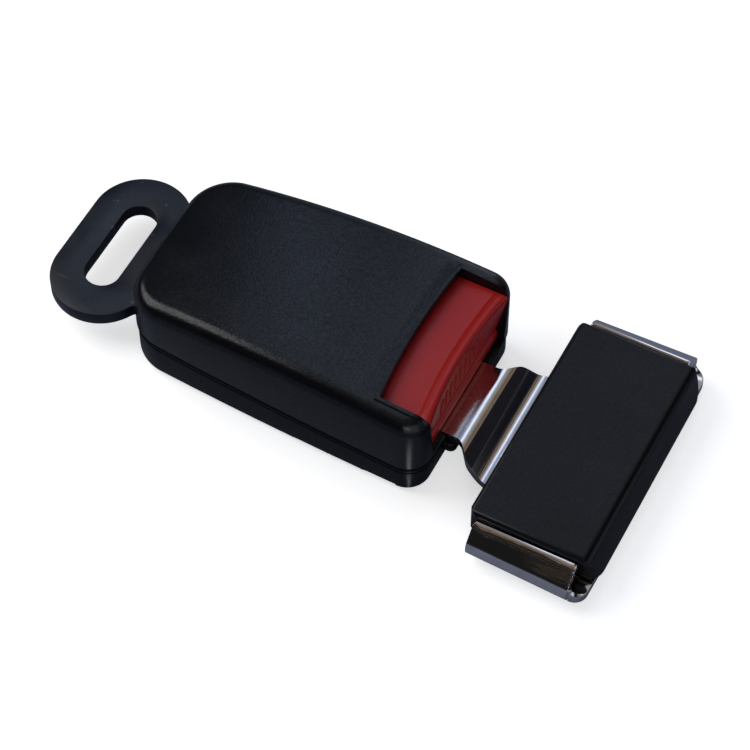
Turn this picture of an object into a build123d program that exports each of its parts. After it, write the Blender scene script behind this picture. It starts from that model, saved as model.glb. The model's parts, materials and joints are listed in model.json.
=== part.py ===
from build123d import *
import os

os.makedirs("parts", exist_ok=True)

# Lap belt buckle with its tongue and belt adjuster, in millimetres.
# +X runs from the anchor plate to the adjuster, +Y across, +Z up.
# The origin is on the underside of the lower housing, at the middle of its length.

# ---- driving dimensions -------------------------------------------------

# housing
housing_length = 78.0
rear_width = 42.4
middle_width = 47.4
front_width = 49.6
rear_bow = 0.8
rear_corner_radius = 11.0
front_corner_radius = 6.0
crown_rear = 22.5
crown_peak = 26.5
crown_front = 24.5
crown_peak_x = 3.0
seam_rear = 10.9
seam_front = 8.3
housing_wall = 2.2
top_edge_radius = 3.7
bottom_edge_radius = 2.2
seam_step = 0.3
seam_groove_depth = 0.5
seam_groove_height = 0.6

# opening for the button
opening_depth = 12.3
opening_top_width = 39.4
opening_seam_width = 35.6
opening_bow = 1.25
bead_width = 1.1
bead_height = 0.4

# sheet metal
frame_sheet = 2.2
anchor_sheet = 3.5
tongue_sheet = 2.2
running_gap = 0.3
pin_clearance = 0.05

# steel frame
frame_base_z = 3.5
frame_rear_x = -28.0
frame_front_x = 27.0
frame_inner_width = 26.8
frame_top_z = 20.5
frame_high_rear_x = -22.0
frame_high_front_x = 15.5
frame_slope = 4.0
frame_low_z = 9.0
latch_hole_length = 8.0
latch_hole_width = 14.0

# anchor plate
anchor_top_z = 10.5
anchor_head_x = -63.9
anchor_head_depth = 24.3
anchor_head_width = 42.2
anchor_slot_width = 8.6
anchor_slot_length = 25.2
anchor_slot_inset = 7.7
anchor_neck_width = 25.2
anchor_inner_width = 24.0
anchor_end_x = -17.0
anchor_joggle_x = -34.5
anchor_joggle_run = 5.0
neck_fillet = 4.0
rivet_radius = 3.0
rivet_x = -22.6
rivet_spacing = 12.6
rivet_head_radius = 4.4
rivet_head_height = 1.1

# tongue and adjuster base
blade_width = 21.4
blade_tip_x = 11.5
blade_bottom_z = 6.0
joggle_start_x = 43.4
joggle_run = 5.7
joggle_drop = 4.0
joggle_radius = 4.5
flare_start_x = 42.3
flare_middle_x = 45.6
flare_middle_width = 29.2
flare_end_x = 51.1
flare_width = 32.8
flare_radius = 3.0
blade_chamfer = 2.5
latch_window_x = 18.6
latch_window_length = 7.6
latch_window_width = 13.0
adjuster_front_x = 54.2
adjuster_end_x = 83.6
adjuster_end_bow = 0.4
adjuster_front_width = 55.0
lug_width = 68.0
lug_corner_radius = 3.2
ear_start_x = 55.2
ear_length = 24.7
ear_front_y = 33.4
ear_end_y = 34.2
ear_lean_z = 6.6
ear_bend_radius = 2.2
ear_top_y = 29.4
ear_top_z = 10.5
ear_corner_radius = 1.6
ear_foot_radius = 2.6
belt_window_x = 57.4
belt_window_length = 19.6
belt_window_width = 51.0
guide_slot_width = 57.4

# adjuster cover and slide bar
cover_front_x = 53.0
cover_length = 31.3
cover_width = 56.4
cover_rim_width = 58.4
cover_rim_z = 10.8
cover_top_z = 12.2
cover_wall = 2.0
cover_corner_radius = 2.6
cover_edge_radius = 1.3
cover_end_lean = 2.5
cover_end_foot_z = 5.5
cover_end_radius = 2.6
cover_end_corner_radius = 4.5
bar_x = 67.2
bar_length_x = 8.8
bar_thickness = 3.2
bar_tooth_pitch = 2.0
bar_tooth_depth = 0.5
bar_lift = 0.8
bar_low_half = 31.6
bar_wide_half = 31.8
bar_top_half = 29.7
lug_thickness = 2.4
clamp_travel = 3.0

# latch
pivot_x = -14.0
pivot_z = 12.2
pivot_radius = 2.0
barrel_radius = 3.0
pawl_sheet = 2.2
pawl_width = 22.0
pawl_bottom_z = 13.0
tooth_x = 19.8
tooth_length = 3.4
tooth_width = 11.0
tooth_bottom_z = 8.7
clip_radius = 2.7
clip_thickness = 0.8
groove_depth = 0.5

# button and lock bar
button_rear_x = 22.0
button_front_x = 38.7
button_bow = 2.2
button_bottom_z = 8.7
button_foot_x = 36.9
ridge_z = 11.2
ridge_step = 0.5
face_bow = 0.1
rib_count = 9
rib_pitch = 2.5
rib_width = 1.1
rib_height = 6.0
rib_z = 16.8
rib_rise = 0.35
button_inner_front_x = 34.4
button_skirt_z = 16.0
button_back_x = 24.3
panel_z = 22.6
lip_height = 1.0
lip_length = 2.4
lip_bow = 1.1
panel_thickness = 2.0
button_wall = 2.6
button_travel = 5.5
arm_thickness = 1.6
arm_height = 5.0
lock_bar_x = -3.0
lock_bar_radius = 1.5

# springs
wire_radius = 0.35
button_spring_radius = 1.7
button_spring_y = 8.0
button_spring_z = 18.2
ejector_spring_radius = 1.5
latch_spring_radius = 2.2
latch_spring_x = 4.0

# ejector
ejector_length = 9.7
ejector_width = 16.0
ejector_height = 3.6

# screws
screw_radius = 1.2
screw_head_radius = 1.9
screw_head_height = 1.4
boss_radius = 2.1
rear_screw_x = -31.5
rear_screw_y = 14.9
front_screw_x = 32.5
front_screw_y = 20.4
screw_length = 12.5
screw_recess = 0.4

# ---- worked-out values --------------------------------------------------

rear_x = -housing_length / 2
front_x = housing_length / 2
blade_top_z = blade_bottom_z + tongue_sheet
frame_floor_z = frame_base_z + frame_sheet
frame_outer_width = frame_inner_width + 2 * frame_sheet
base_bottom_z = blade_bottom_z - joggle_drop
base_top_z = base_bottom_z + tongue_sheet
opening_rear_x = front_x - opening_depth
anchor_bottom_z = anchor_top_z - anchor_sheet
pawl_top_z = pawl_bottom_z + pawl_sheet
cover_bottom_z = base_top_z + running_gap
far = 60.0
button_inner_width = frame_outer_width + 2 * running_gap
arm_inner_y = frame_outer_width / 2 + 0.4
lock_bar_z = pawl_top_z + running_gap + lock_bar_radius
arm_bottom_z = lock_bar_z - arm_height / 2
stop_front_x = 13.1
stop_thickness = 1.5
bar_bottom_z = base_top_z + bar_lift
bar_top_z = bar_bottom_z + bar_thickness


def seam_z(x):
    """Height of the parting line at x."""
    return seam_rear + (seam_front - seam_rear) * (x - rear_x) / housing_length


def write(builder, name):
    builder.part.label = name
    export_step(builder.part, "parts/" + name + ".step")


def housing_plan(inset):
    """Draw the outline of the housing seen from above, drawn in by inset."""
    with BuildSketch(Plane.XY) as plan:
        with BuildLine():
            ThreePointArc((rear_x, -rear_width / 2), (rear_x - rear_bow, 0), (rear_x, rear_width / 2))
            ThreePointArc((rear_x, rear_width / 2), (0, middle_width / 2), (front_x, front_width / 2))
            Line((front_x, front_width / 2), (front_x, -front_width / 2))
            ThreePointArc((front_x, -front_width / 2), (0, -middle_width / 2), (rear_x, -rear_width / 2))
        make_face()
        fillet(plan.vertices().filter_by(lambda v: v.X < 0), rear_corner_radius)
        fillet(plan.vertices().filter_by(lambda v: v.X > front_x - 1), front_corner_radius)
        if inset:
            offset(amount=-inset)
    return plan.sketch


def upper_form(inset, rise, round_top):
    """Solid of the upper housing's outside, drawn in by inset and raised by rise.

    The inside is drawn with no round_top: the wall keeps its thickness at the rounded edge.
    """
    end_rear = rear_x - 3
    end_front = front_x + 3
    with BuildPart() as form:
        extrude(housing_plan(inset), amount=far)
        with BuildSketch(Plane.XZ):
            with BuildLine():
                ThreePointArc((end_rear, crown_rear + rise), (crown_peak_x, crown_peak + rise),
                              (end_front, crown_front + rise))
                Polyline((end_front, crown_front + rise), (end_front, seam_z(end_front)),
                         (end_rear, seam_z(end_rear)), (end_rear, crown_rear + rise))
            make_face()
        extrude(amount=far, both=True, mode=Mode.INTERSECT)
        if round_top:
            fillet(form.faces().sort_by(Axis.Z)[-1].edges(), round_top)
    return form.part


def lower_form(inset, lift, round_bottom, drop=0):
    """Solid of the lower housing's outside, drawn in by inset, floor lifted by lift, top lowered by drop."""
    end_rear = rear_x - 3
    end_front = front_x + 3
    with BuildPart() as form:
        extrude(housing_plan(inset), amount=far)
        with BuildSketch(Plane.XZ):
            Polygon((end_rear, lift), (end_front, lift), (end_front, seam_z(end_front) - drop),
                    (end_rear, seam_z(end_rear) - drop), align=None)
        extrude(amount=far, both=True, mode=Mode.INTERSECT)
        if round_bottom:
            fillet(form.faces().sort_by(Axis.Z)[0].edges(), round_bottom)
    return form.part


def opening_half(z):
    """Half width of the button's opening at height z."""
    slope = (opening_top_width - opening_seam_width) / 2 / (crown_front - seam_front)
    return opening_seam_width / 2 + slope * (z - seam_front)


def opening_prism(gap, start_x, end_x, low_z, high_z):
    """Draw and extrude the opening's tapered section, drawn in by gap."""
    with BuildPart() as prism:
        with BuildSketch(Plane.YZ.offset(start_x)):
            low = opening_half(low_z) - gap
            high = opening_half(high_z) - gap
            Polygon((-low, low_z), (low, low_z), (high, high_z), (-high, high_z), align=None)
        extrude(amount=end_x - start_x)
    return prism.part


def bowed_plan(ends_x, bow):
    """Plan ahead of an arc that lies bow further back at the middle than at the opening's sides."""
    half = opening_top_width / 2
    with BuildSketch(Plane.XY) as plan:
        with BuildLine():
            ThreePointArc((ends_x, -half), (ends_x - bow, 0), (ends_x, half))
            Polyline((ends_x, half), (ends_x, far), (far, far), (far, -far), (ends_x, -far), (ends_x, -half))
        make_face()
    return plan.sketch


screw_places = [(rear_screw_x, -rear_screw_y), (rear_screw_x, rear_screw_y),
                (front_screw_x, -front_screw_y), (front_screw_x, front_screw_y)]


# ---- upper housing ------------------------------------------------------

with BuildPart() as opening_bead:
    with BuildSketch(Plane.XY):
        add(bowed_plan(opening_rear_x - bead_width, opening_bow))
        Rectangle(2 * far, 2 * (opening_half(crown_front) + bead_width), mode=Mode.INTERSECT)
    extrude(amount=far)
    add(upper_form(0, bead_height, top_edge_radius), mode=Mode.INTERSECT)

with BuildPart() as upper_inside:
    with BuildSketch(Plane.XY.offset(seam_front)):
        with Locations(*screw_places):
            Circle(boss_radius)
    extrude(amount=far)
    with BuildSketch(Plane.XY.offset(frame_top_z)):
        with GridLocations(27.0, frame_inner_width + frame_sheet, 2, 2):
            Rectangle(3.0, frame_sheet)
    extrude(amount=far)
    with BuildSketch(Plane.XY.offset(frame_top_z)):
        with Locations((latch_spring_x, 0)):
            Circle(latch_spring_radius - 2 * wire_radius - 0.2)
    extrude(amount=far)
    add(opening_prism(-bead_width, opening_rear_x, far, seam_front, far))
    add(upper_form(housing_wall - 0.6, 0.6 - housing_wall, 0), mode=Mode.INTERSECT)

with BuildPart() as opening_cut:
    add(opening_prism(0, opening_rear_x - opening_bow, far, 0, far))
    extrude(bowed_plan(opening_rear_x, opening_bow), amount=far, mode=Mode.INTERSECT)

with BuildPart() as upper_housing:
    add(upper_form(0, 0, top_edge_radius))
    add(opening_bead.part)
    add(upper_form(housing_wall, -housing_wall, 0), mode=Mode.SUBTRACT)
    add(upper_inside.part)
    add(opening_cut.part, mode=Mode.SUBTRACT)
    with Locations(*[(x, y, screw_recess + screw_head_height) for x, y in screw_places]):
        Cylinder(screw_radius, screw_length, align=(Align.CENTER, Align.CENTER, Align.MIN),
                 mode=Mode.SUBTRACT)
write(upper_housing, "upper_housing")


# ---- lower housing ------------------------------------------------------

lip_reach = 2.2
lip_depth = 2.3
rib_spacing = 23.4
rib_thickness = 1.6

with BuildPart() as lower_inside:
    with BuildSketch(Plane.XY):
        with Locations(*screw_places):
            Circle(boss_radius)
    extrude(amount=far)
    with BuildSketch(Plane.XY):
        with Locations((frame_rear_x + 2, 0)):
            with GridLocations(1, rib_spacing, 1, 2):
                Rectangle(frame_front_x - frame_rear_x - 4, rib_thickness, align=(Align.MIN, Align.CENTER))
    extrude(amount=frame_base_z)
    add(lower_form(seam_step + housing_wall - 0.6, housing_wall - 0.6, 0), mode=Mode.INTERSECT)

with BuildPart() as lower_housing:
    # the shell stops short of the seam, where a narrower rim leaves a groove all round
    add(lower_form(seam_step, 0, bottom_edge_radius, seam_groove_height))
    add(lower_form(seam_step + seam_groove_depth, housing_wall, 0))
    add(lower_form(seam_step + housing_wall, housing_wall, 0), mode=Mode.SUBTRACT)
    add(lower_inside.part)
    # lip under the tongue
    with BuildSketch(Plane.XY.offset(blade_bottom_z - running_gap)):
        with Locations((front_x - housing_wall, 0)):
            Rectangle(housing_wall + lip_reach, blade_width + 2.4, align=(Align.MIN, Align.CENTER))
    extrude(amount=-lip_depth)
    fillet(lower_housing.edges().filter_by(Axis.Z).group_by(Axis.X)[-1], 1.5)
    # slot for the tongue
    with BuildSketch(Plane.YZ.offset(front_x - 2 * housing_wall)):
        with Locations((0, blade_bottom_z - running_gap)):
            Rectangle(blade_width + 0.8, far, align=(Align.CENTER, Align.MIN))
    extrude(amount=far, mode=Mode.SUBTRACT)
    # slot for the anchor plate
    with BuildSketch(Plane.YZ.offset(rear_x + 2 * housing_wall)):
        with Locations((0, anchor_bottom_z - running_gap)):
            Rectangle(anchor_neck_width + 2 * running_gap, far, align=(Align.CENTER, Align.MIN))
    extrude(amount=-far, mode=Mode.SUBTRACT)
    # screw holes
    with Locations(*[(x, y, 0) for x, y in screw_places]):
        Cylinder(screw_head_radius + 0.1, screw_recess + screw_head_height,
                 align=(Align.CENTER, Align.CENTER, Align.MIN), mode=Mode.SUBTRACT)
        Cylinder(screw_radius + 0.1, far, align=(Align.CENTER, Align.CENTER, Align.MIN), mode=Mode.SUBTRACT)
write(lower_housing, "lower_housing")

with BuildPart() as housing_screws:
    with Locations(*[(x, y, screw_recess) for x, y in screw_places]):
        Cylinder(screw_head_radius, screw_head_height, align=(Align.CENTER, Align.CENTER, Align.MIN))
        Cylinder(screw_radius, screw_head_height + screw_length, align=(Align.CENTER, Align.CENTER, Align.MIN))
        Box(2.2, 0.6, 0.8, align=(Align.CENTER, Align.CENTER, Align.MIN), mode=Mode.SUBTRACT)
        Box(0.6, 2.2, 0.8, align=(Align.CENTER, Align.CENTER, Align.MIN), mode=Mode.SUBTRACT)
write(housing_screws, "housing_screws")


# ---- steel frame --------------------------------------------------------

pin_place = (pivot_x, pivot_z)
rivet_places = [(rivet_x, -rivet_spacing / 2), (rivet_x, rivet_spacing / 2)]
tab_low_z = pawl_top_z + 1.8
tab_high_z = frame_top_z - 1.2

with BuildPart() as buckle_frame:
    with BuildSketch(Plane.YZ.offset(frame_rear_x)) as channel:
        with Locations((0, frame_base_z)):
            Rectangle(frame_outer_width, frame_top_z - frame_base_z, align=(Align.CENTER, Align.MIN))
        fillet(channel.vertices().group_by(Axis.Y)[0], frame_sheet + 0.8)
        with Locations((0, frame_floor_z)):
            Rectangle(frame_inner_width, far, align=(Align.CENTER, Align.MIN), mode=Mode.SUBTRACT)
        fillet(channel.vertices().filter_by(
            lambda v: abs(v.Y - frame_floor_z) < 0.01 and abs(abs(v.X) - frame_inner_width / 2) < 0.01), 0.8)
    extrude(amount=frame_front_x - frame_rear_x)
    with BuildSketch(Plane.XZ) as side:
        Polygon((frame_rear_x, frame_base_z), (frame_front_x, frame_base_z), (frame_front_x, frame_low_z),
                (frame_high_front_x + frame_slope, frame_low_z), (frame_high_front_x, frame_top_z),
                (frame_high_rear_x, frame_top_z), (frame_high_rear_x - frame_slope, frame_low_z),
                (frame_rear_x, frame_low_z), align=None)
        fillet(side.vertices().filter_by(lambda v: abs(v.Y - frame_low_z) < 0.01), 0.8)
        fillet(side.vertices().filter_by(lambda v: abs(v.Y - frame_top_z) < 0.01), 2.0)
    extrude(amount=far, both=True, mode=Mode.INTERSECT)
    # pivot holes, slots for the lock bar and for the spring stop
    with BuildSketch(Plane.XZ):
        with Locations(pin_place):
            Circle(pivot_radius + pin_clearance)
        with Locations((lock_bar_x - button_travel / 2, lock_bar_z)):
            SlotOverall(button_travel + 2 * lock_bar_radius + 2 * running_gap,
                        2 * lock_bar_radius + 2 * running_gap)
        with Locations((stop_front_x - stop_thickness / 2, (tab_low_z + tab_high_z) / 2)):
            Rectangle(stop_thickness, tab_high_z - tab_low_z)
    extrude(amount=far, both=True, mode=Mode.SUBTRACT)
    # rivet holes and the hole that the latch tooth drops into
    with BuildSketch(Plane.XY):
        with Locations(*rivet_places):
            Circle(rivet_radius)
        with Locations((tooth_x + tooth_length / 2 - 0.2, 0)):
            RectangleRounded(latch_hole_length, latch_hole_width, 1.0)
    extrude(amount=pivot_z - barrel_radius, mode=Mode.SUBTRACT)
write(buckle_frame, "buckle_frame")


# ---- anchor plate -------------------------------------------------------

with BuildPart() as anchor_plate:
    joggle = anchor_bottom_z - frame_floor_z
    middle = anchor_sheet / 2
    with BuildSketch(Plane.XZ):
        with BuildLine() as plate_line:
            FilletPolyline((anchor_head_x - 5, anchor_bottom_z + middle), (anchor_joggle_x, anchor_bottom_z + middle),
                           (anchor_joggle_x + anchor_joggle_run, frame_floor_z + middle),
                           (anchor_end_x, frame_floor_z + middle), radius=4.0)
        trace(line_width=anchor_sheet)
    extrude(amount=far, both=True)
    with BuildSketch(Plane.XY) as plate_plan:
        head_radius = anchor_head_depth / 2
        with Locations((anchor_head_x + head_radius, 0)):
            SlotOverall(anchor_head_width, anchor_head_depth, rotation=90)
        neck_start = anchor_head_x + head_radius
        with Locations((neck_start, 0)):
            Rectangle(anchor_joggle_x - neck_start, anchor_neck_width, align=(Align.MIN, Align.CENTER))
        fillet(plate_plan.vertices().filter_by(
            lambda v: abs(abs(v.Y) - anchor_neck_width / 2) < 0.01 and v.X < rear_x), neck_fillet)
        with Locations((anchor_joggle_x - 1, 0)):
            Rectangle(anchor_end_x - anchor_joggle_x + 1, anchor_inner_width, align=(Align.MIN, Align.CENTER))
        with Locations((anchor_head_x + anchor_slot_inset + anchor_slot_width / 2, 0)):
            SlotOverall(anchor_slot_length, anchor_slot_width, rotation=90, mode=Mode.SUBTRACT)
        with Locations(*rivet_places):
            Circle(rivet_radius, mode=Mode.SUBTRACT)
    extrude(amount=far, mode=Mode.INTERSECT)
write(anchor_plate, "anchor_plate")

with BuildPart() as anchor_rivets:
    stack = frame_sheet + anchor_sheet
    with Locations(*[(x, y, frame_base_z) for x, y in rivet_places]):
        Cylinder(rivet_radius, stack, align=(Align.CENTER, Align.CENTER, Align.MIN))
    with Locations(*[(x, y, frame_base_z + stack) for x, y in rivet_places]):
        Cylinder(rivet_head_radius, rivet_head_height, align=(Align.CENTER, Align.CENTER, Align.MIN))
    with Locations(*[(x, y, frame_base_z) for x, y in rivet_places]):
        Cylinder(rivet_head_radius, rivet_head_height, align=(Align.CENTER, Align.CENTER, Align.MAX))
    chamfer(anchor_rivets.edges().group_by(Axis.Z)[0] + anchor_rivets.edges().group_by(Axis.Z)[-1], 0.8)
write(anchor_rivets, "anchor_rivets")


# ---- latch --------------------------------------------------------------

with BuildPart() as latch_pawl:
    with BuildSketch(Plane.XZ) as pawl_side:
        with Locations(pin_place):
            Circle(barrel_radius)
        Polygon((pivot_x, pawl_bottom_z), (tooth_x + tooth_length, pawl_bottom_z),
                (tooth_x + tooth_length, pawl_top_z), (pivot_x, pawl_top_z), align=None)
        with Locations(pin_place):
            Circle(pivot_radius + pin_clearance, mode=Mode.SUBTRACT)
    extrude(amount=pawl_width / 2, both=True)
    chamfer(latch_pawl.edges().filter_by(Axis.Z).group_by(Axis.X)[-1], 3.0)
    with BuildSketch(Plane.XZ):
        Polygon((tooth_x, pawl_bottom_z), (tooth_x, tooth_bottom_z), (tooth_x + 1.6, tooth_bottom_z),
                (tooth_x + tooth_length, tooth_bottom_z + 1.8), (tooth_x + tooth_length, pawl_bottom_z),
                align=None)
    extrude(amount=tooth_width / 2, both=True)
write(latch_pawl, "latch_pawl")

pin_half = frame_outer_width / 2 + clip_thickness + 1.0
with BuildPart() as latch_pin:
    with BuildSketch(Plane.XZ):
        with Locations(pin_place):
            Circle(pivot_radius)
    extrude(amount=pin_half, both=True)
    chamfer(latch_pin.edges().group_by(Axis.Y)[0] + latch_pin.edges().group_by(Axis.Y)[-1], 0.4)
    for side in (-1, 1):
        groove_y = side * (frame_outer_width / 2 + 0.1 + clip_thickness / 2)
        with BuildSketch(Plane.XZ.offset(-groove_y)):
            with Locations(pin_place):
                Circle(pivot_radius)
                Circle(pivot_radius - groove_depth, mode=Mode.SUBTRACT)
        extrude(amount=(clip_thickness + 0.1) / 2, both=True, mode=Mode.SUBTRACT)
write(latch_pin, "latch_pin")

with BuildPart() as pin_clips:
    for side in (-1, 1):
        groove_y = side * (frame_outer_width / 2 + 0.1 + clip_thickness / 2)
        with BuildSketch(Plane.XZ.offset(-groove_y)):
            with Locations(pin_place):
                Circle(clip_radius)
                Circle(pivot_radius - groove_depth + pin_clearance, mode=Mode.SUBTRACT)
                with Locations((0, -clip_radius)):
                    Rectangle(1.8, clip_radius, align=(Align.CENTER, Align.MIN), mode=Mode.SUBTRACT)
        extrude(amount=clip_thickness / 2, both=True)
write(pin_clips, "pin_clips")


# ---- springs ------------------------------------------------------------

def coil(start, direction, length, radius, turns):
    """Sweep a compression spring of the given length, from start along direction."""
    with BuildPart() as spring:
        with BuildLine() as path:
            Helix(pitch=(length - 2 * wire_radius) / turns, height=length - 2 * wire_radius,
                  radius=radius - wire_radius, center=(0, 0, wire_radius))
        with BuildSketch(Plane(path.line @ 0, z_dir=path.line % 0)):
            RegularPolygon(0.9 * wire_radius, 5)
        sweep(is_frenet=True)
        for end_z in (0, length - 2 * wire_radius):
            with BuildSketch(Plane.XY.offset(end_z)):
                Circle(radius)
                Circle(radius - 2 * wire_radius, mode=Mode.SUBTRACT)
            extrude(amount=2 * wire_radius)
    return Plane(start, z_dir=direction) * spring.part


with BuildPart() as latch_spring:
    add(coil((latch_spring_x, 0, pawl_top_z), (0, 0, 1), crown_peak - housing_wall - 0.05 - pawl_top_z,
             latch_spring_radius, 3))
write(latch_spring, "latch_spring")

with BuildPart() as button_spring_left:
    add(coil((stop_front_x, -button_spring_y, button_spring_z), (1, 0, 0), button_back_x - stop_front_x,
             button_spring_radius, 4))
write(button_spring_left, "button_spring_left")

with BuildPart() as button_spring_right:
    add(coil((stop_front_x, button_spring_y, button_spring_z), (1, 0, 0), button_back_x - stop_front_x,
             button_spring_radius, 4))
write(button_spring_right, "button_spring_right")

ejector_rear_x = blade_tip_x - running_gap - ejector_length
ejector_low_z = frame_floor_z + 0.1
ejector_spring_z = frame_floor_z + anchor_sheet / 2
with BuildPart() as ejector_spring:
    add(coil((anchor_end_x, 0, ejector_spring_z), (1, 0, 0), ejector_rear_x + 4.0 - anchor_end_x,
             ejector_spring_radius, 6))
write(ejector_spring, "ejector_spring")


# ---- ejector and the stop for the button springs ------------------------

with BuildPart() as ejector:
    with Locations((ejector_rear_x, 0, ejector_low_z)):
        Box(ejector_length, ejector_width, ejector_height, align=(Align.MIN, Align.CENTER, Align.MIN))
    fillet(ejector.edges().filter_by(Axis.Z), 1.2)
    fillet(ejector.edges().filter_by(Axis.Y).group_by(Axis.Z)[-1], 0.8)
    with BuildSketch(Plane.YZ.offset(ejector_rear_x)):
        with Locations((0, ejector_spring_z)):
            Circle(ejector_spring_radius + 0.2)
    extrude(amount=4.0, mode=Mode.SUBTRACT)
write(ejector, "ejector")

with BuildPart() as spring_stop:
    with BuildSketch(Plane.YZ.offset(stop_front_x - stop_thickness)) as stop_face:
        with Locations((0, pawl_top_z + 0.6)):
            Rectangle(frame_inner_width - 0.1, frame_top_z - pawl_top_z - 0.6, align=(Align.CENTER, Align.MIN))
        with Locations((0, (tab_low_z + tab_high_z) / 2)):
            Rectangle(frame_outer_width, tab_high_z - tab_low_z)
        with Locations((-button_spring_y, button_spring_z), (button_spring_y, button_spring_z)):
            Circle(0.6, mode=Mode.SUBTRACT)
    extrude(amount=stop_thickness)
write(spring_stop, "spring_stop")


# ---- button and lock bar ------------------------------------------------

arm_back_x = lock_bar_x - lock_bar_radius - 1.0


def button_block(forward):
    """Block of the button, its front moved out by forward: straight at the foot, hollow at the lip."""
    sections = []
    for level, front, bow in ((button_bottom_z, button_foot_x, face_bow), (ridge_z, button_foot_x, face_bow),
                              (ridge_z + ridge_step, button_foot_x - ridge_step, face_bow),
                              (panel_z + lip_height, button_front_x, button_bow)):
        half = opening_half(level) - running_gap
        reach = front + forward
        with BuildSketch(Plane.XY.offset(level)) as section:
            with BuildLine():
                ThreePointArc((reach, -half), (reach - bow, 0), (reach, half))
                Polyline((reach, half), (button_rear_x, half), (button_rear_x, -half), (reach, -half))
            make_face()
        sections.append(section.sketch)
    return loft(sections, ruled=True)


with BuildPart() as grip_ribs:
    with BuildSketch(Plane.YZ):
        with Locations((0, rib_z)):
            with GridLocations(rib_pitch, 1, rib_count, 1):
                Rectangle(rib_width, rib_height)
    extrude(amount=far)
    add(button_block(rib_rise), mode=Mode.INTERSECT)

with BuildPart() as press_button:
    add(button_block(0))
    # lowered panel behind the lip
    half = opening_top_width / 2
    lip_x = button_front_x - lip_length
    with BuildSketch(Plane.XY.offset(panel_z)):
        with BuildLine():
            ThreePointArc((lip_x, -half), (lip_x - lip_bow, 0), (lip_x, half))
            Polyline((lip_x, half), (button_rear_x, half), (button_rear_x, -half), (lip_x, -half))
        make_face()
    extrude(amount=far, mode=Mode.SUBTRACT)
    add(grip_ribs.part)
    lip_edges = press_button.edges().filter_by(lambda e: e.center().Z > panel_z + lip_height - 0.01)
    fillet(lip_edges.sort_by(Axis.X)[-1], 0.7)
    # hollow under the panel, open towards the tongue and behind the back wall
    with BuildSketch(Plane.XY):
        with Locations((button_back_x + panel_thickness, 0)):
            Rectangle(button_inner_front_x - button_back_x - panel_thickness, button_inner_width,
                      align=(Align.MIN, Align.CENTER))
        with Locations((button_rear_x, 0)):
            Rectangle(button_back_x - button_rear_x, button_inner_width, align=(Align.MIN, Align.CENTER))
    extrude(amount=panel_z - panel_thickness, mode=Mode.SUBTRACT)
    with Locations((button_rear_x, 0, 0)):
        Box(button_inner_front_x - button_rear_x, button_inner_width, button_skirt_z,
            align=(Align.MIN, Align.CENTER, Align.MIN), mode=Mode.SUBTRACT)
    # arms that carry the lock bar
    for side in (-1, 1):
        with Locations((arm_back_x, side * (arm_inner_y + arm_thickness / 2), arm_bottom_z)):
            Box(button_back_x + panel_thickness - arm_back_x, arm_thickness, arm_height,
                align=(Align.MIN, Align.CENTER, Align.MIN))
    fillet(press_button.edges().filter_by(Axis.Y).group_by(Axis.X)[0], 1.0)
    with BuildSketch(Plane.XZ):
        with Locations((lock_bar_x, lock_bar_z)):
            Circle(lock_bar_radius + pin_clearance)
    extrude(amount=arm_inner_y + arm_thickness, both=True, mode=Mode.SUBTRACT)
write(press_button, "press_button")

with BuildPart() as lock_bar:
    with BuildSketch(Plane.XZ):
        with Locations((lock_bar_x, lock_bar_z)):
            Circle(lock_bar_radius)
    extrude(amount=arm_inner_y + arm_thickness, both=True)
    chamfer(lock_bar.edges().group_by(Axis.Y)[0] + lock_bar.edges().group_by(Axis.Y)[-1], 0.3)
write(lock_bar, "lock_bar")


# ---- tongue with the adjuster base --------------------------------------

slide_gap = 0.3
bar_end_x = bar_x + bar_length_x / 2
bar_start_x = bar_x - bar_length_x / 2
window_end_x = belt_window_x + belt_window_length
ear_end_x = ear_start_x + ear_length
ear_base_z = base_bottom_z + tongue_sheet / 2


def ear_section(x, side_y, side):
    """Section of an ear at x: the sheet turns up at side_y and then leans in to its fixed top."""
    with BuildSketch(Plane.YZ.offset(x)) as section:
        with BuildLine():
            FilletPolyline((side * (side_y - ear_bend_radius - 0.8), ear_base_z), (side * side_y, ear_base_z),
                           (side * side_y, ear_lean_z), (side * ear_top_y, ear_top_z), radius=ear_bend_radius)
        trace(line_width=tongue_sheet)
    return section.sketch


with BuildSketch(Plane.XY) as lug_plan:
    lug_edge_x = adjuster_end_x - adjuster_end_bow
    with BuildLine():
        ThreePointArc((lug_edge_x, -lug_width / 2), (adjuster_end_x, 0), (lug_edge_x, lug_width / 2))
        Polyline((lug_edge_x, lug_width / 2), (ear_end_x, lug_width / 2), (ear_end_x, -lug_width / 2),
                 (lug_edge_x, -lug_width / 2))
    make_face()
    fillet(lug_plan.vertices().group_by(Axis.X)[-1], lug_corner_radius)

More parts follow.
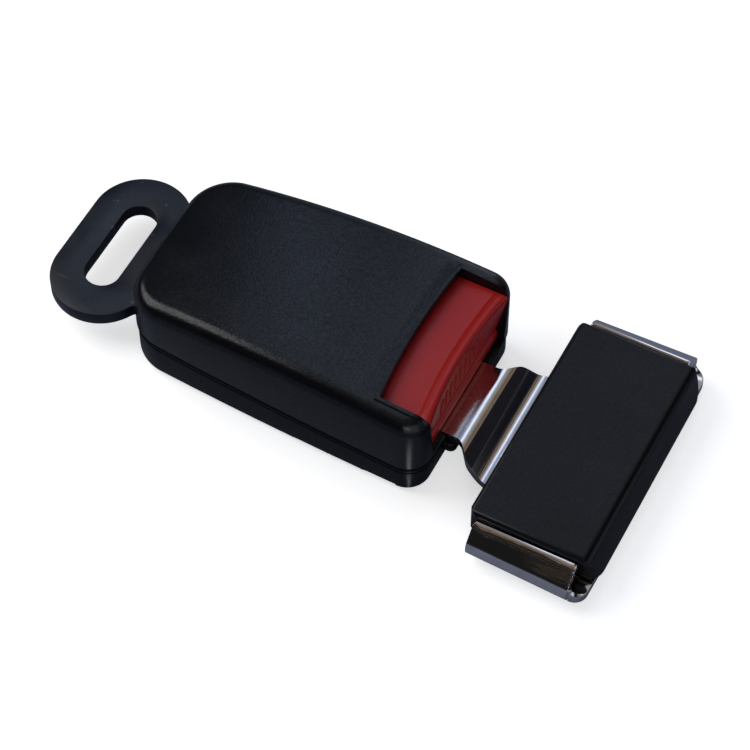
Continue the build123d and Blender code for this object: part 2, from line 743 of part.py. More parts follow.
with BuildPart() as tongue_frame:
    # blade and base seen from the side
    with BuildSketch(Plane.XZ):
        with BuildLine():
            blade_middle_z = blade_bottom_z + tongue_sheet / 2
            FilletPolyline((blade_tip_x - 5, blade_middle_z), (joggle_start_x, blade_middle_z),
                           (joggle_start_x + joggle_run, blade_middle_z - joggle_drop),
                           (adjuster_end_x + 1, blade_middle_z - joggle_drop), radius=joggle_radius)
        trace(line_width=tongue_sheet)
    extrude(amount=far, both=True)
    # and from above
    with BuildSketch(Plane.XY) as tongue_plan:
        with BuildLine() as tongue_edge:
            Polyline((blade_tip_x, 0), (blade_tip_x, blade_width / 2), (flare_start_x, blade_width / 2),
                     (flare_middle_x, flare_middle_width / 2), (flare_end_x, flare_width / 2),
                     (adjuster_front_x, flare_width / 2 + 1), (adjuster_front_x, 0))
            mirror(about=Plane.XZ)
        make_face()
        fillet(tongue_plan.vertices().filter_by(
            lambda v: abs(v.X - flare_start_x) < 0.01 or abs(v.X - flare_middle_x) < 0.01), flare_radius)
        fillet(tongue_plan.vertices().group_by(Axis.X)[0], blade_chamfer)
        front_half = ear_front_y - ear_bend_radius - 0.4
        end_half = ear_end_y - ear_bend_radius - 0.4
        Polygon((adjuster_front_x, -adjuster_front_width / 2), (adjuster_front_x, adjuster_front_width / 2),
                (ear_start_x, front_half), (ear_end_x, end_half), (ear_end_x, -end_half),
                (ear_start_x, -front_half), align=None)
        add(lug_plan.sketch)
        # openings for the latch tooth, the belt and the ends of the slide bar
        with Locations((latch_window_x + latch_window_length / 2, 0)):
            RectangleRounded(latch_window_length, latch_window_width, 1.2, mode=Mode.SUBTRACT)
        with Locations((belt_window_x + belt_window_length / 2, 0)):
            RectangleRounded(belt_window_length, belt_window_width, 1.5, mode=Mode.SUBTRACT)
        with Locations((bar_start_x - slide_gap, 0)):
            Rectangle(bar_length_x + clamp_travel + 2 * slide_gap, guide_slot_width,
                      align=(Align.MIN, Align.CENTER), mode=Mode.SUBTRACT)
    extrude(amount=far, mode=Mode.INTERSECT)
    # ears, a little wider apart at the far end, each with a hollow foot that runs into the lug
    spread = (ear_end_y - ear_front_y) * ear_foot_radius / ear_length
    for side in (-1, 1):
        loft([ear_section(ear_start_x, ear_front_y, side),
              ear_section(ear_end_x + ear_foot_radius, ear_end_y + spread, side)], ruled=True)
    with BuildSketch(Plane.XZ) as ear_side:
        with Locations((blade_tip_x, 0)):
            Rectangle(ear_start_x - blade_tip_x, blade_top_z + 1, align=(Align.MIN, Align.MIN))
        with Locations((ear_start_x, 0)):
            Rectangle(ear_length, ear_top_z + tongue_sheet / 2, align=(Align.MIN, Align.MIN))
            Rectangle(far, base_top_z, align=(Align.MIN, Align.MIN))
        fillet(ear_side.vertices().group_by(Axis.Y)[-1], ear_corner_radius)
        fillet(ear_side.vertices().filter_by(
            lambda v: abs(v.X - ear_end_x) < 0.01 and abs(v.Y - base_top_z) < 0.01), ear_foot_radius)
    extrude(amount=far, both=True, mode=Mode.INTERSECT)
    with BuildSketch(Plane.XY):
        with Locations((blade_tip_x, 0)):
            Rectangle(ear_end_x - blade_tip_x, 2 * far, align=(Align.MIN, Align.CENTER))
        add(lug_plan.sketch)
    extrude(amount=far, mode=Mode.INTERSECT)
write(tongue_frame, "tongue_frame")


# ---- slide bar and cover ------------------------------------------------

with BuildPart() as slide_bar:
    half_top = bar_top_half
    with BuildSketch(Plane.YZ.offset(bar_start_x)):
        Polygon((-bar_low_half, bar_bottom_z), (bar_low_half, bar_bottom_z), (bar_wide_half, bar_bottom_z + 1.2),
                (half_top, bar_top_z), (-half_top, bar_top_z), (-bar_wide_half, bar_bottom_z + 1.2), align=None)
    extrude(amount=bar_length_x)
    # grip grooves over the middle of the bar
    with BuildSketch(Plane.XZ):
        with Locations((bar_x, bar_top_z)):
            with GridLocations(bar_tooth_pitch, 1, 4, 1):
                Rectangle(bar_tooth_pitch / 2, 2 * bar_tooth_depth)
    extrude(amount=belt_window_width / 2 - 1, both=True, mode=Mode.SUBTRACT)
    # guide lugs in the slots of the base
    with BuildSketch(Plane.XY.offset(base_bottom_z + 0.6)):
        with GridLocations(1, guide_slot_width - 2 * slide_gap - lug_thickness, 1, 2):
            with Locations((bar_x, 0)):
                Rectangle(bar_length_x, lug_thickness)
    extrude(amount=bar_bottom_z - base_bottom_z)
write(slide_bar, "slide_bar")

with BuildPart() as adjuster_cover:
    # plan, side and end profiles; the rim stands out over the tops of the ears
    with BuildSketch(Plane.XY.offset(cover_bottom_z)) as cover_plan:
        with Locations((cover_front_x, 0)):
            Rectangle(cover_length, cover_rim_width, align=(Align.MIN, Align.CENTER))
        fillet(cover_plan.vertices().group_by(Axis.X)[0], cover_corner_radius)
        fillet(cover_plan.vertices().group_by(Axis.X)[-1], cover_end_corner_radius)
    extrude(amount=cover_top_z - cover_bottom_z)
    with BuildSketch(Plane.XZ) as cover_side:
        cover_end_x = cover_front_x + cover_length
        Polygon((cover_front_x, 0), (cover_end_x, 0), (cover_end_x, cover_end_foot_z),
                (cover_end_x - cover_end_lean, cover_top_z), (cover_front_x, cover_top_z), align=None)
        fillet(cover_side.vertices().group_by(Axis.Y)[-1].sort_by(Axis.X)[0], cover_edge_radius)
        fillet(cover_side.vertices().group_by(Axis.Y)[-1].sort_by(Axis.X)[-1], cover_end_radius)
    extrude(amount=far, both=True, mode=Mode.INTERSECT)
    with BuildSketch(Plane.YZ) as cover_section:
        with Locations((0, cover_rim_z)):
            Rectangle(cover_width, far, align=(Align.CENTER, Align.MAX))
            Rectangle(cover_rim_width, cover_top_z - cover_rim_z, align=(Align.CENTER, Align.MIN))
        fillet(cover_section.vertices().group_by(Axis.Y)[-1], cover_edge_radius)
    extrude(amount=2 * far, mode=Mode.INTERSECT)
    with BuildSketch(Plane.XY.offset(cover_bottom_z)):
        with Locations((cover_front_x + cover_wall, 0)):
            Rectangle(cover_length - cover_end_lean - 2 * cover_wall, cover_width - 2 * cover_wall,
                      align=(Align.MIN, Align.CENTER))
    extrude(amount=cover_top_z - cover_wall - cover_bottom_z, mode=Mode.SUBTRACT)
    with Locations((bar_x, 0, cover_bottom_z)):
        Box(bar_length_x, far + far, bar_top_z - cover_bottom_z,
            align=(Align.CENTER, Align.CENTER, Align.MIN), mode=Mode.SUBTRACT)
write(adjuster_cover, "adjuster_cover")
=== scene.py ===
import json
import math

import bpy
import numpy as np
from mathutils import Matrix, Vector


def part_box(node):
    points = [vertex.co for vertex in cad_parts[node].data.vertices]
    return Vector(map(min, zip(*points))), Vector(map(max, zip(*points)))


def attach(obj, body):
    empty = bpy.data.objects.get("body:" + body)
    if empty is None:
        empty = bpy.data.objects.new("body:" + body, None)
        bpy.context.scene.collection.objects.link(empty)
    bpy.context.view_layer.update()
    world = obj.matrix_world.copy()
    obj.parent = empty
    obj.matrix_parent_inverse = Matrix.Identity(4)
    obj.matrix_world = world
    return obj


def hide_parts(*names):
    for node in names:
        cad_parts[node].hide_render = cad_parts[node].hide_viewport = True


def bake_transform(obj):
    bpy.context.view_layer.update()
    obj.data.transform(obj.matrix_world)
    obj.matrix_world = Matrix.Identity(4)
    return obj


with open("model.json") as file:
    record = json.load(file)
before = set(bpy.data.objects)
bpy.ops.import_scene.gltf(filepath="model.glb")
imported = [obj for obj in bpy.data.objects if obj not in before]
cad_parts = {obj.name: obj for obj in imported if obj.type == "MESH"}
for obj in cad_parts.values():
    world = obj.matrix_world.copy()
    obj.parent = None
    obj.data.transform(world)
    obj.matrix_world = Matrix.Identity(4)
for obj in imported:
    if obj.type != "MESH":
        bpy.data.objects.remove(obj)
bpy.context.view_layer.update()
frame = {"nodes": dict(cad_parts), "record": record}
nodes = frame["nodes"]

cameraValues = {
    "azimuth": 27.643,  # degrees, 0 looks along +Y
    "elevation": 54.989,
    "roll": -0.114,
    "distance": 0.63608,
    "target": (0.01431, 0.00144, -0.0005),
    "focalPixels": 2754.5,  # for an image 750 pixels wide
}


def addCamera(values):
    azimuth = math.radians(values["azimuth"])
    elevation = math.radians(values["elevation"])
    forward = Vector((-math.sin(azimuth) * math.cos(elevation),
                      math.cos(azimuth) * math.cos(elevation), -math.sin(elevation)))
    right = Vector((math.cos(azimuth), math.sin(azimuth), 0))
    up = right.cross(forward)
    roll = math.radians(values["roll"])
    right, up = (math.cos(roll) * right + math.sin(roll) * up, math.cos(roll) * up - math.sin(roll) * right)
    data = bpy.data.cameras.new("camera")
    data.sensor_width = 36
    data.lens = 36 * values["focalPixels"] / 750
    data.clip_start = 0.01
    camera = bpy.data.objects.new("camera", data)
    place = Vector(values["target"]) - values["distance"] * forward
    camera.matrix_world = Matrix.Translation(place) @ Matrix((right, up, -forward)).transposed().to_4x4()
    bpy.context.scene.collection.objects.link(camera)
    bpy.context.scene.camera = camera


addCamera(cameraValues)
print("camera placed")


class Finish:
    # one node material with short ways to add noise, ramps, colour mixes and bump
    def __init__(self, name, colour, roughness, metallic=0.0, specular=0.5):
        self.material = bpy.data.materials.new(name)
        self.material.use_nodes = True
        self.tree = self.material.node_tree
        self.shader = self.tree.nodes["Principled BSDF"]
        self.shader.inputs["Base Color"].default_value = (*colour, 1)
        self.shader.inputs["Roughness"].default_value = roughness
        self.shader.inputs["Metallic"].default_value = metallic
        self.shader.inputs["Specular IOR Level"].default_value = specular
        self.place = self.tree.nodes.new("ShaderNodeTexCoord").outputs["Object"]

    def node(self, kind, **sockets):
        made = self.tree.nodes.new(kind)
        for name, value in sockets.items():
            made.inputs[name.replace("_", " ")].default_value = value
        return made

    def link(self, output, target):
        self.tree.links.new(output, target)

    def noise(self, scale, detail=4.0, stretch=(1, 1, 1)):
        # noise on the piece's own coordinates, drawn out along one axis by stretch
        mapping = self.node("ShaderNodeMapping")
        mapping.inputs["Scale"].default_value = stretch
        self.link(self.place, mapping.inputs["Vector"])
        made = self.node("ShaderNodeTexNoise", Scale=scale, Detail=detail)
        self.link(mapping.outputs["Vector"], made.inputs["Vector"])
        return made.outputs["Fac"]

    def ramp(self, value, low, high, fromLow=0.3, fromHigh=0.7):
        # value from fromLow..fromHigh goes to low..high
        made = self.node("ShaderNodeMapRange")
        made.inputs["From Min"].default_value = fromLow
        made.inputs["From Max"].default_value = fromHigh
        made.inputs["To Min"].default_value = low
        made.inputs["To Max"].default_value = high
        self.link(value, made.inputs["Value"])
        return made.outputs["Result"]

    def math(self, operation, *values):
        made = self.tree.nodes.new("ShaderNodeMath")
        made.operation = operation
        for socket, value in zip(made.inputs, values):
            if isinstance(value, (int, float)):
                socket.default_value = value
            else:
                self.link(value, socket)
        return made.outputs[0]

    def along(self, direction):
        # length of the piece's own coordinates along a direction
        made = self.tree.nodes.new("ShaderNodeVectorMath")
        made.operation = "DOT_PRODUCT"
        self.link(self.place, made.inputs[0])
        made.inputs[1].default_value = direction
        return made.outputs["Value"]

    def mixColour(self, value, first, second):
        made = self.node("ShaderNodeMix")
        made.data_type = "RGBA"
        made.inputs[6].default_value = (*first, 1)
        made.inputs[7].default_value = (*second, 1)
        self.link(value, made.inputs[0])
        self.link(made.outputs[2], self.shader.inputs["Base Color"])

    def bump(self, value, strength, distance, after=None):
        made = self.node("ShaderNodeBump", Strength=strength, Distance=distance)
        self.link(value, made.inputs["Height"])
        if after:
            self.link(after, made.inputs["Normal"])
        self.link(made.outputs["Normal"], self.shader.inputs["Normal"])
        return made.outputs["Normal"]


def mouldedPlastic(name, colour, roughness, grainSize, grainDepth, specular=0.5, tint=1.25, uneven=0.3,
                   shade=None, form=None):
    # fine spark-eroded grain with slow changes in gloss; shade paints shade into lines by taking out their reflection,
    # form adds height in metres
    finish = Finish(name, colour, roughness, specular=specular)
    slow = finish.noise(70, 3)
    gloss = finish.ramp(slow, roughness - 0.04, roughness + 0.05)
    finish.mixColour(finish.ramp(finish.noise(1500, 5), 0, 1), colour, tuple(c * tint for c in colour))
    speckle = finish.ramp(finish.noise(0.8 / grainSize, 2), specular * (1 - uneven), specular * (1 + uneven))
    if shade:
        # painted shade: inside the dark lines the reflection is taken out and the gloss made rough
        paintedShadow = shade(finish)
        gloss = finish.math("MAXIMUM", gloss, paintedShadow)
        speckle = finish.math("MULTIPLY", speckle, finish.ramp(paintedShadow, 1, 0, 0, 1))
    finish.link(speckle, finish.shader.inputs["Specular IOR Level"])
    finish.link(gloss, finish.shader.inputs["Roughness"])
    grain = finish.bump(finish.noise(1 / grainSize, 2), 0.6, grainDepth)
    if form:
        finish.bump(form(finish), 1.0, 1.0, grain)
    return finish.material


seamValues = {
    "fall": 1 / 30,  # how far the parting line falls along X
    # painted shade for the shadow at the parting line: a broad dark line above it and a thin one below it; each gives
    # height at x = 0, half width of the dark core and of the whole
    "lines": [(0.0102, 0.0002, 0.0008), (0.00845, 0.0001, 0.00045)],
    "depth": 0.9,
}


# painted shade: two dark lines along the parting line, where the shadow of the groove falls
def seamPaintedShade(finish, values=seamValues):
    height = finish.along((values["fall"], 0, 1))
    parts = []
    for middle, core, whole in values["lines"]:
        away = finish.math("ABSOLUTE", finish.math("SUBTRACT", height, middle))
        parts.append(finish.ramp(away, values["depth"], 0, core, whole))
    return finish.math("MAXIMUM", *parts)


lipValues = {
    "middle": 0.0359,  # x of the lip's middle at y = 0
    "bow": 3.94,  # how it moves out, times y squared
    "halfWidth": 0.00135,
    "drop": 0.00045,  # fall of the roll at its edge
    "furthest": 1.6,  # where the roll ends, in squared half widths
    "levels": (0.0226, 0.0229),  # only above these heights
}


def rolledLip(finish, values=lipValues):
    # a roll across the lip on the top edge of the button: height falls with the square of the distance from its middle
    across = finish.math("POWER", finish.math("ABSOLUTE", finish.along((0, 1, 0))), 2)
    middle = finish.math("MULTIPLY_ADD", across, values["bow"], values["middle"])
    away = finish.math("DIVIDE", finish.math("SUBTRACT", finish.along((1, 0, 0)), middle), values["halfWidth"])
    squared = finish.math("POWER", finish.math("ABSOLUTE", away), 2)
    drop = finish.math("MULTIPLY", finish.math("MINIMUM", squared, values["furthest"]), -values["drop"])
    top = finish.ramp(finish.along((0, 0, 1)), 0, 1, *values["levels"])
    return finish.math("MULTIPLY", drop, top)


earValues = {
    "waveScale": 240,
    "waveStretch": (0.04, 1, 1),  # drawn out along X
    "waveHeight": 0.0009,
    "rollLevels": (0.0098, 0.0116),  # the sheet rolls over between these heights
    "rollHeight": -0.0004,
}


def platedSteel(name, colour, roughness, scratch=0.25, stretch=(1, 1, 1), wavyBeyond=None):
    # bright metal, gloss broken by fine rubbing and cloudy patches; sheet beyond wavyBeyond from the middle
    # plane has long waves drawn out along X
    finish = Finish(name, colour, roughness, metallic=1.0)
    cloud = finish.noise(160, 4)
    finish.link(finish.ramp(cloud, roughness * 0.7, roughness * 1.6), finish.shader.inputs["Roughness"])
    finish.mixColour(finish.ramp(finish.noise(300, 6), 0, 1), colour, tuple(c * 0.86 for c in colour))
    rub = finish.bump(finish.noise(900, 3, stretch), scratch, 0.00003)
    if wavyBeyond:
        ear = earValues
        side = finish.math("ABSOLUTE", finish.along((0, 1, 0)))
        where = finish.ramp(side, 0, 1, wavyBeyond - 0.0005, wavyBeyond)
        waves = finish.math("MULTIPLY", where, finish.noise(ear["waveScale"], 1, ear["waveStretch"]))
        rub = finish.bump(waves, 1.0, ear["waveHeight"], rub)
        roll = finish.ramp(finish.along((0, 0, 1)), 0, 1, *ear["rollLevels"])
        finish.bump(finish.math("MULTIPLY", where, finish.math("POWER", roll, 2)), 1.0, ear["rollHeight"], rub)
    return finish.material


def coatedSteel(name, colour, roughness):
    # black coating on sheet steel: low waviness, thin light scratches and small chips
    finish = Finish(name, colour, roughness, specular=0.36)
    slow = finish.noise(110, 3)
    finish.link(finish.ramp(slow, roughness - 0.06, roughness + 0.10), finish.shader.inputs["Roughness"])
    chips = finish.ramp(finish.noise(420, 5), 0, 1, 0.66, 0.70)
    scratches = finish.ramp(finish.noise(900, 3, (0.06, 1, 1)), 0, 0.6, 0.70, 0.74)
    finish.mixColour(finish.math("MAXIMUM", chips, scratches), colour, tuple(c * 3.5 + 0.02 for c in colour))
    waves = finish.bump(finish.noise(260, 2), 0.35, 0.00012)
    finish.bump(finish.noise(2600, 2), 0.3, 0.00004, waves)
    return finish.material


# lengths in metres; uneven is how far the gloss of single grains departs from the middle
plasticValues = {
    "housing_plastic": {"name": "blackGrain", "colour": (0.0036, 0.0039, 0.0056), "roughness": 0.21,
                        "grainSize": 0.00042, "grainDepth": 0.00006, "specular": 0.30, "shade": seamPaintedShade},
    "cover_plastic": {"name": "coverGrain", "colour": (0.0028, 0.0030, 0.0045), "roughness": 0.32,
                      "grainSize": 0.00034, "grainDepth": 0.00005, "specular": 0.26, "uneven": 0.15},
    "red_plastic": {"name": "signalRed", "colour": (0.365, 0.0100, 0.0085), "roughness": 0.34,
                    "grainSize": 0.0007, "grainDepth": 0.00002, "specular": 0.38, "tint": 1.08, "uneven": 0.06,
                    "form": rolledLip},
    "white_plastic": {"name": "milkWhite", "colour": (0.62, 0.61, 0.57), "roughness": 0.4,
                      "grainSize": 0.0005, "grainDepth": 0.00002},
}
coatValues = {"name": "blackCoat", "colour": (0.0060, 0.0082, 0.0150), "roughness": 0.30}
plateValues = {
    "tongue_steel": {"name": "brightPlate", "colour": (0.78, 0.76, 0.77), "roughness": 0.06, "scratch": 0.2,
                     "stretch": (1, 12, 1), "wavyBeyond": 0.029},
    "bright_steel": {"name": "satinSteel", "colour": (0.52, 0.51, 0.51), "roughness": 0.24, "scratch": 0.3,
                     "stretch": (1, 10, 1)},
    "zinc_steel": {"name": "zincSteel", "colour": (0.50, 0.50, 0.47), "roughness": 0.34, "scratch": 0.3},
    "spring_steel": {"name": "springWire", "colour": (0.33, 0.33, 0.35), "roughness": 0.3, "scratch": 0.2},
}
materials = {slot: mouldedPlastic(**values) for slot, values in plasticValues.items()}
materials["black_steel"] = coatedSteel(**coatValues)
materials.update({slot: platedSteel(**values) for slot, values in plateValues.items()})
print("materials made:", len(materials))

for entry in frame["record"]["subparts"]:
    piece = nodes[entry["node"]]
    piece.data.materials.clear()
    piece.data.materials.append(materials[entry["material_slot"]])

# width of the broken edges; the others stay sharp
edgeValues = {
    "upper_housing": 0.0002, "lower_housing": 0.0002, "press_button": 0.0002, "adjuster_cover": 0.0002,
    "anchor_plate": 0.0013, "tongue_frame": 0.0006, "slide_bar": 0.0002,
}
sharpAngle = math.radians(38)


def soften(piece, width):
    weld = piece.modifiers.new("weld", "WELD")
    weld.merge_threshold = 0.00001
    if width:
        bevel = piece.modifiers.new("bevel", "BEVEL")
        bevel.width = width
        bevel.segments = 3
        bevel.limit_method = "ANGLE"
        bevel.angle_limit = sharpAngle
        bevel.use_clamp_overlap = True
        bevel.harden_normals = False
    split = piece.modifiers.new("split", "EDGE_SPLIT")
    split.split_angle = sharpAngle
    piece.data.polygons.foreach_set("use_smooth", np.ones(len(piece.data.polygons), bool))


for name, piece in nodes.items():
    soften(piece, edgeValues.get(name, 0))
print("CAD pieces finished:", len(nodes))


def closedTubes(name, points, slot):
    # points go by tube, ring along it, place around it; quads join neighbouring rings, one face closes each end
    tubes, rings, around = points.shape[:3]
    places = np.arange(tubes * rings * around).reshape(tubes, rings, around)
    here, beyond = places[:, :-1], places[:, 1:]
    quads = np.stack([here, np.roll(here, -1, 2), np.roll(beyond, -1, 2), beyond], -1).reshape(-1, 4)
    ends = np.concatenate([places[:, 0, ::-1], places[:, -1]])
    mesh = bpy.data.meshes.new(name)
    mesh.from_pydata(points.reshape(-1, 3).tolist(), [], quads.tolist() + ends.tolist())
    mesh.polygons.foreach_set("use_smooth", np.arange(len(mesh.polygons)) < len(quads))
    mesh.materials.append(materials[slot])
    piece = bpy.data.objects.new(name, mesh)
    bpy.context.scene.collection.objects.link(piece)
    return piece


ribValues = {
    "count": 9,
    "pitch": 0.0025,
    "halfWidth": 0.00055,
    "halfHeight": 0.003,
    "middle": 0.0168,  # height of their middles
    "rise": 0.00035,  # out of the button's front
    "sunk": 0.00015,  # their middles behind it
    "rings": 17,
    "around": 16,
}
# the button's front in mm, over s above its foot level: x = foot + lean s + (bow + bowGain s)(y / halfWidth)^2
frontValues = {"level": 11.7, "foot": 36.65, "lean": 0.0168, "bow": 0.1, "bowGain": 0.1765, "halfWidth": 18.6}


def power(value, exponent):
    return np.sign(value) * np.abs(value) ** exponent


def addRibs(values, face):
    # each rib is an upright superellipsoid with its middle sunk in the button's front: height goes by sin(u)^0.5,
    # width by cos(u)^0.35 sin(v)^0.6 and depth by cos(u)^0.35 cos(v)^0.6
    u = np.linspace(-1, 1, values["rings"])[None, :, None] * math.pi * 0.495
    v = np.linspace(0, 2 * math.pi, values["around"], endpoint=False)[None, None, :]
    place = (np.arange(values["count"]) - (values["count"] - 1) / 2)[:, None, None] * values["pitch"]
    girth = np.cos(u) ** 0.35
    y = place + values["halfWidth"] * girth * power(np.sin(v), 0.6)
    z = values["middle"] + values["halfHeight"] * power(np.sin(u), 0.5) + 0 * y
    above = z * 1000 - face["level"]
    bow = (face["bow"] + face["bowGain"] * above) * (y * 1000 / face["halfWidth"]) ** 2
    front = (face["foot"] + face["lean"] * above + bow) / 1000
    x = front - values["sunk"] + (values["rise"] + values["sunk"]) * girth * power(np.cos(v), 0.6)
    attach(closedTubes("grip_ribs", np.stack([x, y, z], -1), "red_plastic"), "button")


wireValues = {"radius": 0.00035, "ringsPerTurn": 24, "around": 10}
springValues = {
    # CAD node: axis it is pressed along, turns, the body at its moving end, and whether that is its high end
    "button_spring_left": (0, 4, "button", 1),
    "button_spring_right": (0, 4, "button", 1),
    "latch_spring": (2, 3, "latch", 0),
    "ejector_spring": (0, 6, "ejector", 1),
}


def addSpring(node, spring, values):
    # round wire carried along a helix; the turn at each end rises by one wire thickness only, the turns between
    # share the rest of the length
    axis, turns, mover, movingEnd = spring
    wire = values["radius"]
    low, high = (np.array(c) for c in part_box(node))
    middle = (low + high) / 2
    side, up = (1, 2) if axis == 0 else (0, 1)
    radius = (high - low)[side] / 2 - wire
    turn = np.linspace(0, turns + 2, int((turns + 2) * values["ringsPerTurn"]) + 1)
    length = (high - low)[axis]
    rise = np.interp(turn, [0, 1, turns + 1, turns + 2], [wire, 3 * wire, length - 3 * wire, length - wire])
    angle = 2 * math.pi * turn
    unit = np.eye(3)
    radial = np.cos(angle)[:, None] * unit[side] + np.sin(angle)[:, None] * unit[up]
    path = radius * radial + rise[:, None] * unit[axis]
    tangent = np.gradient(path, axis=0)
    tangent /= np.linalg.norm(tangent, axis=1)[:, None]
    across = np.cross(tangent, radial)
    v = np.linspace(0, 2 * math.pi, values["around"], endpoint=False)[None, :, None]
    points = path[:, None] + wire * (np.cos(v) * radial[:, None] + np.sin(v) * across[:, None])
    foot = middle * (1 - unit[axis]) + low * unit[axis]
    coil = closedTubes(node + "_coil", (points + foot)[None], "spring_steel")
    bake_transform(coil)
    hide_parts(node)


addRibs(ribValues, frontValues)
for node, spring in springValues.items():
    addSpring(node, spring, wireValues)
print("ribs and springs made")

floorValues = {
    "half": 3.0,
    "level": -0.0001,  # a hair under the housing, so that the two never share a plane
    "seen": (0.93, 0.93, 0.93),  # colour to the camera
    "mirrored": (0.26, 0.285, 0.36),  # and in what it reflects into and lights
    "glow": 0.60,
    "roughness": 0.8,
    "specular": 0.1,
}
# painted highlight: a glowing wedge on the floor, seen in reflections only, for the near corner's gleam
gleamValues = {
    "start": (0.0352, -0.0225),
    "along": (0.554, -0.833),
    "strength": 1.5,
    "spread": (0.08, 0.26),  # side distance over distance along, from full to nothing
    "near": (0.0, 0.002),
    "far": (0.011, 0.016),
    "grainScale": 1100,
}
roomValues = {
    # the room by the X part of the direction: window side, pale wall, brown wall, dark side
    "roomBands": [(0.0, (0.04, 0.045, 0.06)), (0.25, (0.05, 0.06, 0.08)), (0.31, (0.24, 0.29, 0.39)),
                  (0.37, (0.28, 0.33, 0.45)), (0.388, (0.40, 0.45, 0.56)), (0.402, (1.0, 1.15, 1.4)),
                  (0.452, (1.0, 1.15, 1.4)), (0.472, (0.36, 0.37, 0.39)), (0.53, (0.33, 0.33, 0.34)),
                  (0.56, (0.24, 0.18, 0.135)), (0.60, (0.20, 0.15, 0.11)), (0.615, (0.05, 0.04, 0.03)),
                  (0.63, (0.22, 0.165, 0.12)), (0.67, (0.20, 0.15, 0.11)), (0.70, (0.012, 0.012, 0.016)),
                  (0.865, (0.012, 0.012, 0.016)), (0.89, (0.30, 0.33, 0.40)), (0.93, (0.55, 0.60, 0.72)),
                  (1.0, (0.55, 0.60, 0.72))],
    # the room on the near side, by the Z part of the direction
    "nearBands": [(0.0, (0.03, 0.03, 0.03)), (0.30, (0.012, 0.012, 0.012)), (0.50, (0.012, 0.012, 0.012)),
                  (0.565, (0.012, 0.012, 0.012)), (0.58, (0.11, 0.08, 0.06)), (0.592, (0.015, 0.014, 0.013)),
                  (0.66, (0.012, 0.014, 0.012)), (0.688, (0.015, 0.014, 0.013)), (0.70, (0.15, 0.11, 0.085)),
                  (0.714, (0.02, 0.018, 0.015)), (0.80, (0.02, 0.018, 0.016)),
                  (0.84, (0.24, 0.18, 0.135)), (0.87, (0.05, 0.04, 0.03)), (0.92, (0.26, 0.20, 0.15)),
                  (1.0, (0.24, 0.19, 0.15))],
}
lampValues = {
    "keySoftbox": {"place": (-0.70, -0.05, 0.74), "aim": (0, 0, 0.01), "size": (0.7, 0.7), "power": 5.0},
    "topWindow": {"place": (-0.37, 0.52, 0.80), "aim": (-0.01, 0, 0.02), "size": (0.07, 0.4), "power": 0.13,
                  "colour": (0.80, 0.94, 1.30)},
    "frontFill": {"place": (0.64, -0.66, 0.35), "aim": (0.04, 0, 0.01), "size": (1.0, 1.0), "power": 3.0,
                  "colour": (0.75, 0.86, 1.0)},
    "cornerGleam": {"place": (0.43, -0.78, 0.45), "aim": (0.03, -0.02, 0.01), "size": (0.09, 0.09), "power": 0.5},
}


# the wedge's painted glow, broken by grain, for the highlight on the near corner
def gleamOn(finish, values):
    x, y = values["start"]
    ax, ay = values["along"]
    along = finish.math("SUBTRACT", finish.along((ax, ay, 0)), ax * x + ay * y)
    across = finish.math("ABSOLUTE", finish.math("SUBTRACT", finish.along((-ay, ax, 0)), ax * y - ay * x))
    wedge = finish.ramp(finish.math("DIVIDE", across, finish.math("MAXIMUM", along, 0.0001)),
                        values["strength"], 0, *values["spread"])
    ends = finish.math("MULTIPLY", finish.ramp(along, 0, 1, *values["near"]), finish.ramp(along, 1, 0, *values["far"]))
    broken = finish.math("MULTIPLY", ends, finish.ramp(finish.noise(values["grainScale"], 2), 0, 1.6, 0.4, 0.62))
    return finish.math("MULTIPLY", wedge, broken)


def addFloor(values, gleam):
    half, level = values["half"], values["level"]
    corners = [(-half, -half, level), (half, -half, level), (half, half, level), (-half, half, level)]
    mesh = bpy.data.meshes.new("floor")
    mesh.from_pydata(corners, [], [(0, 1, 2, 3)])
    floor = bpy.data.objects.new("floor", mesh)
    bpy.context.scene.collection.objects.link(floor)
    finish = Finish("paleFloor", values["seen"], values["roughness"], specular=values["specular"])
    rays = finish.node("ShaderNodeLightPath")
    finish.mixColour(rays.outputs["Is Camera Ray"], values["mirrored"], values["seen"])
    finish.shader.inputs["Emission Color"].default_value = (1, 1, 1, 1)
    # clear from below, so that the underside can be seen
    under = finish.node("ShaderNodeNewGeometry").outputs["Backfacing"]
    finish.link(finish.ramp(under, 1, 0, 0, 1), finish.shader.inputs["Alpha"])
    # the wedge glows in reflections only: a painted highlight on the near corner
    mirrored = finish.math("MULTIPLY", gleamOn(finish, gleam), rays.outputs["Is Glossy Ray"])
    finish.link(finish.math("MULTIPLY_ADD", rays.outputs["Is Camera Ray"], values["glow"], mirrored),
                finish.shader.inputs["Emission Strength"])
    mesh.materials.append(finish.material)


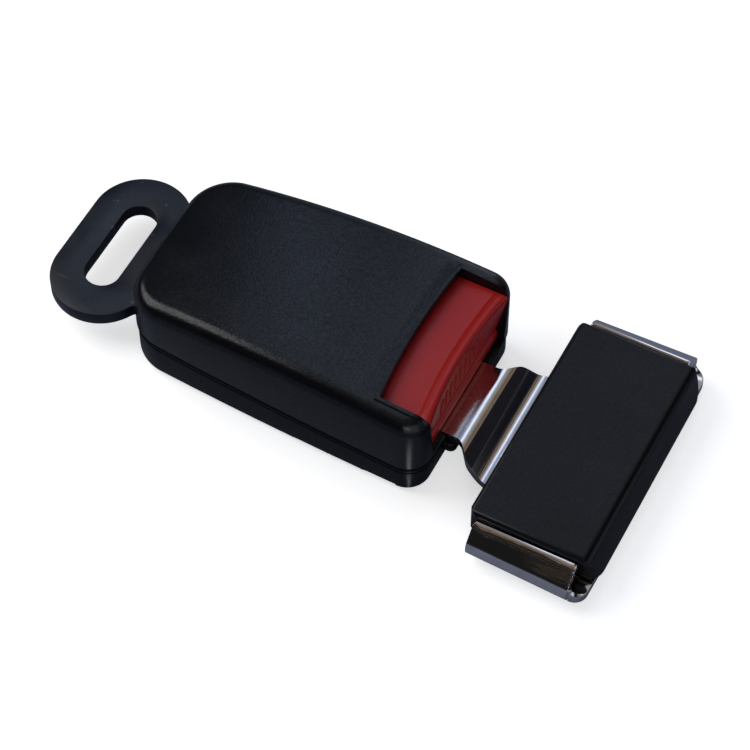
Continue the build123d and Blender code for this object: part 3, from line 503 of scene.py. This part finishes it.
def addArea(name, place, aim, size, power, colour=(1, 1, 1)):
    data = bpy.data.lights.new(name, "AREA")
    data.shape = "RECTANGLE"
    data.size, data.size_y = size
    data.energy = power
    data.color = colour
    lamp = bpy.data.objects.new(name, data)
    lamp.location = place
    lamp.rotation_euler = (Vector(aim) - Vector(place)).to_track_quat("-Z", "Y").to_euler()
    bpy.context.scene.collection.objects.link(lamp)


def addBands(nodes, stops):
    made = nodes.new("ShaderNodeValToRGB")
    ramp = made.color_ramp
    ramp.interpolation = "EASE"
    while len(ramp.elements) < len(stops):
        ramp.elements.new(0.5)
    for element, (place, colour) in zip(ramp.elements, stops):
        element.position = place
        element.color = (*colour, 1)
    return made


def addRoom(values):
    # white to the camera; to the object, one set of bands for the far half and one for the near half
    world = bpy.data.worlds.new("studio")
    world.use_nodes = True
    bpy.context.scene.world = world
    nodes, link = world.node_tree.nodes, world.node_tree.links.new
    direction = nodes.new("ShaderNodeSeparateXYZ")
    link(nodes.new("ShaderNodeTexCoord").outputs["Generated"], direction.inputs[0])
    along = nodes.new("ShaderNodeMapRange")
    along.inputs["From Min"].default_value = -1
    link(direction.outputs["X"], along.inputs["Value"])
    bands = addBands(nodes, values["roomBands"])
    link(along.outputs["Result"], bands.inputs["Fac"])
    near = addBands(nodes, values["nearBands"])
    link(direction.outputs["Z"], near.inputs["Fac"])
    side = nodes.new("ShaderNodeMapRange")
    side.interpolation_type = "SMOOTHSTEP"
    side.inputs["From Min"].default_value = -0.25
    side.inputs["From Max"].default_value = 0.15
    link(direction.outputs["Y"], side.inputs["Value"])
    room = nodes.new("ShaderNodeMix")
    room.data_type = "RGBA"
    link(side.outputs["Result"], room.inputs[0])
    link(near.outputs["Color"], room.inputs[6])
    link(bands.outputs["Color"], room.inputs[7])
    seen = nodes.new("ShaderNodeMix")
    seen.data_type = "RGBA"
    seen.inputs[7].default_value = (1, 1, 1, 1)
    link(nodes.new("ShaderNodeLightPath").outputs["Is Camera Ray"], seen.inputs[0])
    link(room.outputs[2], seen.inputs[6])
    link(seen.outputs[2], nodes["Background"].inputs["Color"])


addFloor(floorValues, gleamValues)
for name, values in lampValues.items():
    addArea(name, **values)
addRoom(roomValues)
bpy.context.scene.view_settings.view_transform = "Standard"
print("studio lit")
